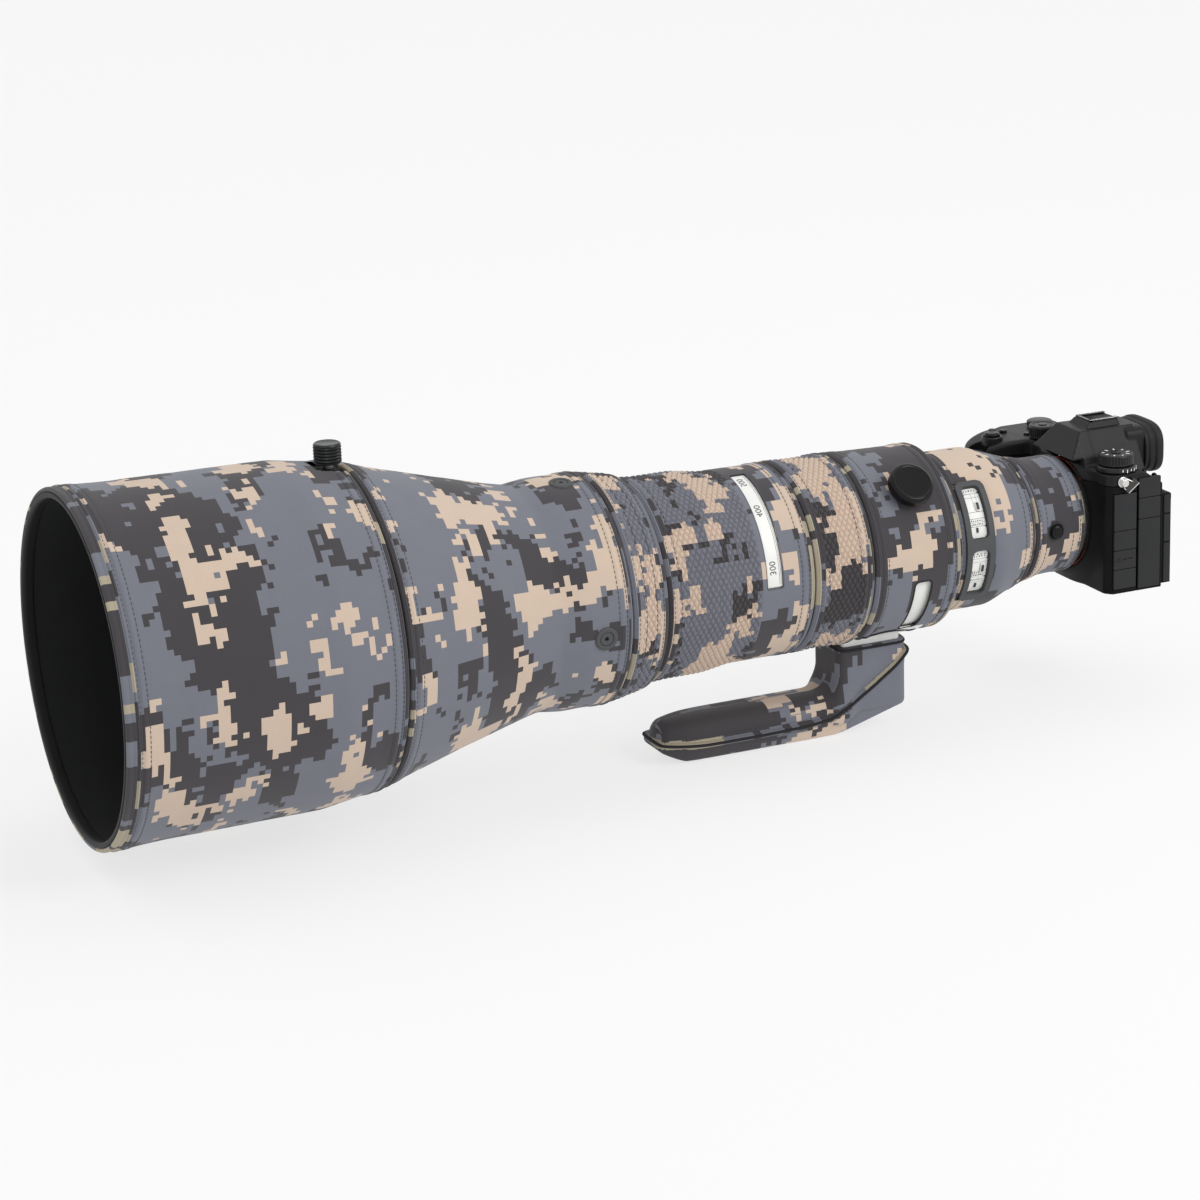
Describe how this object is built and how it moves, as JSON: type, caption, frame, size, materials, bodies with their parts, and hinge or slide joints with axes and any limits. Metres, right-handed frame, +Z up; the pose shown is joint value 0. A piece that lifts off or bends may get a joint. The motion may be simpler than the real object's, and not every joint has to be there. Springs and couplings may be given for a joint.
{
  "type": "mirrorless camera with super-telephoto lens",
  "caption": "Mirrorless camera body on a large white super-telephoto zoom lens with a deep hood and a tripod foot, dressed in a camouflage neoprene lens cover.",
  "frame": {"origin": "mouth of the middle threaded socket in the flat underside of the lens foot", "axes": "+Z up, -Y the way the lens looks along its optical axis, +X towards the side with the camera's socket doors"},
  "size_m": [0.2032, 0.692, 0.2216],
  "materials": {
    "cover_fabric": "matte stretch neoprene, stepped camouflage print",
    "foot_fabric": "matte stretch neoprene, stepped camouflage print",
    "lens_white": "smooth off-white enamel",
    "lens_ring": "moulded ribs",
    "knob_gloss": "polished black",
    "knob_matt": "black anodised, knurled",
    "hood_carbon": "matte black",
    "rubber_black": "soft matte",
    "rubber_grey": "smooth matte",
    "body_shell": "fine-grained matte black paint",
    "body_plastic": "fine grain",
    "button_black": "smooth",
    "dial_metal": "black anodised, knurled edge",
    "mount_steel": "turned",
    "trim_orange": "anodised orange-red",
    "optical_glass": "coated",
    "glass_cell": "coated group in its cell",
    "finder_glass": "coated",
    "sensor_glass": "dark iridescent",
    "board_green": "satin",
    "pack_black": "satin",
    "screen_glass": "polished",
    "switch_white": "smooth",
    "lug_steel": "polished",
    "leather_black": "smooth"
  },
  "bodies": {
    "support": {"collar_ring": "lens_white", "tripod_foot": "lens_white", "collar_cover": "cover_fabric", "foot_cover": "foot_fabric"},
    "collar_knob": {"collar_lock_knob": "knob_gloss"},
    "barrel": {"lens_mount": "mount_steel", "main_barrel": "lens_white", "front_barrel": "lens_white", "front_ring": "hood_carbon", "front_element": "optical_glass", "rear_element": "optical_glass", "switch_panel": "switch_white", "switch_bezel": "rubber_grey", "mount_cover": "cover_fabric", "rear_barrel_cover": "cover_fabric", "front_barrel_cover": "cover_fabric"},
    "function_band": {"function_ring": "lens_ring", "function_ring_cover": "cover_fabric"},
    "zoom_band": {"zoom_ring": "lens_ring", "zoom_ring_cover": "cover_fabric"},
    "zoom_cell": {"zoom_group": "glass_cell"},
    "focus_band": {"focus_ring": "lens_ring", "focus_ring_cover": "cover_fabric"},
    "hold_port": {"hold_button_port": "button_black"},
    "hold_top": {"hold_button_top": "button_black"},
    "hold_grip": {"hold_button_grip": "button_black"},
    "hold_under": {"hold_button_under": "button_black"},
    "upper_key": {"upper_switch": "switch_white"},
    "lower_key": {"lower_switch": "switch_white"},
    "rear_key": {"mount_button": "button_black"},
    "hood": {"hood_shell": "hood_carbon", "hood_lip": "rubber_grey", "hood_cover": "cover_fabric"},
    "hood_knob": {"hood_lock_knob": "knob_matt"},
    "camera": {"front_cover": "body_shell", "rear_cover": "body_shell", "top_cover": "body_shell", "body_mount_ring": "mount_steel", "mount_trim_ring": "trim_orange", "image_sensor": "sensor_glass", "main_board": "board_green", "battery": "pack_black", "hot_shoe": "lug_steel", "eyepiece": "finder_glass", "eyecup": "rubber_black", "strap_lugs": "lug_steel", "strap_rings": "leather_black"},
    "battery_lid": {"battery_door": "body_plastic"},
    "screen": {"monitor_arm": "body_plastic", "monitor": "screen_glass"},
    "rear_wheel": {"control_wheel": "dial_metal"},
    "release_key": {"lens_release": "button_black"},
    "focus_selector": {"focus_mode_dial": "dial_metal"},
    "drive_selector": {"drive_dial": "dial_metal"},
    "mode_selector": {"mode_dial": "dial_metal"},
    "exposure_selector": {"exposure_dial": "dial_metal"},
    "shutter_key": {"shutter_button": "button_black"},
    "front_wheel": {"front_dial": "dial_metal"},
    "front_port_lid": {"front_port_door": "rubber_black"},
    "rear_port_lid": {"rear_port_door": "rubber_black"}
  },
  "joints": [
    {"name": "collar_turn", "type": "hinge", "parent": "support", "child": "barrel", "pos_m": [0, 0.211, 0.1136], "axis": [0, -1, 0], "continuous": true},
    {"name": "collar_knob_turn", "type": "hinge", "parent": "support", "child": "collar_knob", "pos_m": [0.04168, 0.084, 0.15676], "axis": [0.6947, 0, 0.7193], "range_deg": [0, 270]},
    {"name": "zoom_turn", "type": "hinge", "parent": "barrel", "child": "zoom_band", "pos_m": [0, 0.211, 0.1136], "axis": [0, -1, 0], "range_deg": [0, 70]},
    {"name": "zoom_travel", "type": "slide", "parent": "barrel", "child": "zoom_cell", "axis": [0, -1, 0], "range_m": [0, 0.0505]},
    {"name": "focus_turn", "type": "hinge", "parent": "barrel", "child": "focus_band", "pos_m": [0, 0.211, 0.1136], "axis": [0, -1, 0], "continuous": true},
    {"name": "function_turn", "type": "hinge", "parent": "barrel", "child": "function_band", "pos_m": [0, 0.211, 0.1136], "axis": [0, -1, 0], "continuous": true},
    {"name": "hold_port_press", "type": "slide", "parent": "barrel", "child": "hold_port", "axis": [-0.9903, 0, 0.1392], "range_m": [0, 0.0012], "stiffness_N_per_m": 1500},
    {"name": "hold_top_press", "type": "slide", "parent": "barrel", "child": "hold_top", "axis": [-0.1392, 0, -0.9903], "range_m": [0, 0.0012], "stiffness_N_per_m": 1500},
    {"name": "hold_grip_press", "type": "slide", "parent": "barrel", "child": "hold_grip", "axis": [0.9903, 0, -0.1392], "range_m": [0, 0.0012], "stiffness_N_per_m": 1500},
    {"name": "hold_under_press", "type": "slide", "parent": "barrel", "child": "hold_under", "axis": [0.1392, 0, 0.9903], "range_m": [0, 0.0012], "stiffness_N_per_m": 1500},
    {"name": "upper_switch_slide", "type": "slide", "parent": "barrel", "child": "upper_key", "axis": [0, -1, 0], "range_m": [0, 0.006]},
    {"name": "lower_switch_slide", "type": "slide", "parent": "barrel", "child": "lower_key", "axis": [0, -1, 0], "range_m": [0, 0.006]},
    {"name": "mount_button_press", "type": "slide", "parent": "barrel", "child": "rear_key", "axis": [-1, 0, 0], "range_m": [0, 0.0008], "stiffness_N_per_m": 1500},
    {"name": "hood_slide", "type": "slide", "parent": "barrel", "child": "hood", "axis": [0, -1, 0], "range_m": [0, 0.04]},
    {"name": "hood_knob_turn", "type": "hinge", "parent": "hood", "child": "hood_knob", "pos_m": [0, -0.26, 0.2136], "axis": [0, 0, 1], "range_deg": [0, 270]},
    {"name": "camera_mount_turn", "type": "hinge", "parent": "barrel", "child": "camera", "pos_m": [0, 0.211, 0.1136], "axis": [0, 1, 0], "range_deg": [0, 60]},
    {"name": "battery_door_swing", "type": "hinge", "parent": "camera", "child": "battery_lid", "pos_m": [-0.0525, 0.211, 0.0725], "axis": [0, -1, 0], "range_deg": [0, 95]},
    {"name": "screen_tilt", "type": "hinge", "parent": "camera", "child": "screen", "pos_m": [0.004, 0.2614, 0.1284], "axis": [1, 0, 0], "range_deg": [0, 50]},
    {"name": "control_wheel_turn", "type": "hinge", "parent": "camera", "child": "rear_wheel", "pos_m": [-0.058, 0.2555, 0.1016], "axis": [0, 1, 0], "continuous": true},
    {"name": "lens_release_press", "type": "slide", "parent": "camera", "child": "release_key", "axis": [0, 1, 0], "range_m": [0, 0.0012], "stiffness_N_per_m": 1500},
    {"name": "focus_mode_turn", "type": "hinge", "parent": "camera", "child": "focus_selector", "pos_m": [0.038, 0.228, 0.1486], "axis": [0, 0, 1], "continuous": true},
    {"name": "drive_turn", "type": "hinge", "parent": "camera", "child": "drive_selector", "pos_m": [0.038, 0.228, 0.1536], "axis": [0, 0, 1], "continuous": true},
    {"name": "mode_turn", "type": "hinge", "parent": "camera", "child": "mode_selector", "pos_m": [-0.041, 0.224, 0.1536], "axis": [0, 0, 1], "continuous": true},
    {"name": "exposure_turn", "type": "hinge", "parent": "camera", "child": "exposure_selector", "pos_m": [-0.0665, 0.237, 0.1526], "axis": [0, 0, 1], "continuous": true},
    {"name": "shutter_press", "type": "slide", "parent": "camera", "child": "shutter_key", "axis": [0, 0, -1], "range_m": [0, 0.0015], "stiffness_N_per_m": 800},
    {"name": "front_dial_turn", "type": "hinge", "parent": "camera", "child": "front_wheel", "pos_m": [-0.057, 0.188, 0.1396], "axis": [0, 0, 1], "continuous": true},
    {"name": "front_port_door_swing", "type": "hinge", "parent": "camera", "child": "front_port_lid", "pos_m": [0.04975, 0.22055, 0.1236], "axis": [0, 0, -1], "range_deg": [0, 100]},
    {"name": "rear_port_door_swing", "type": "hinge", "parent": "camera", "child": "rear_port_lid", "pos_m": [0.04975, 0.25085, 0.0956], "axis": [0, 0, 1], "range_deg": [0, 100]}
  ],
  "couplings": [
    {"joint": "zoom_travel", "follows": "zoom_turn", "m_per_rad": 0.0409}
  ]
}
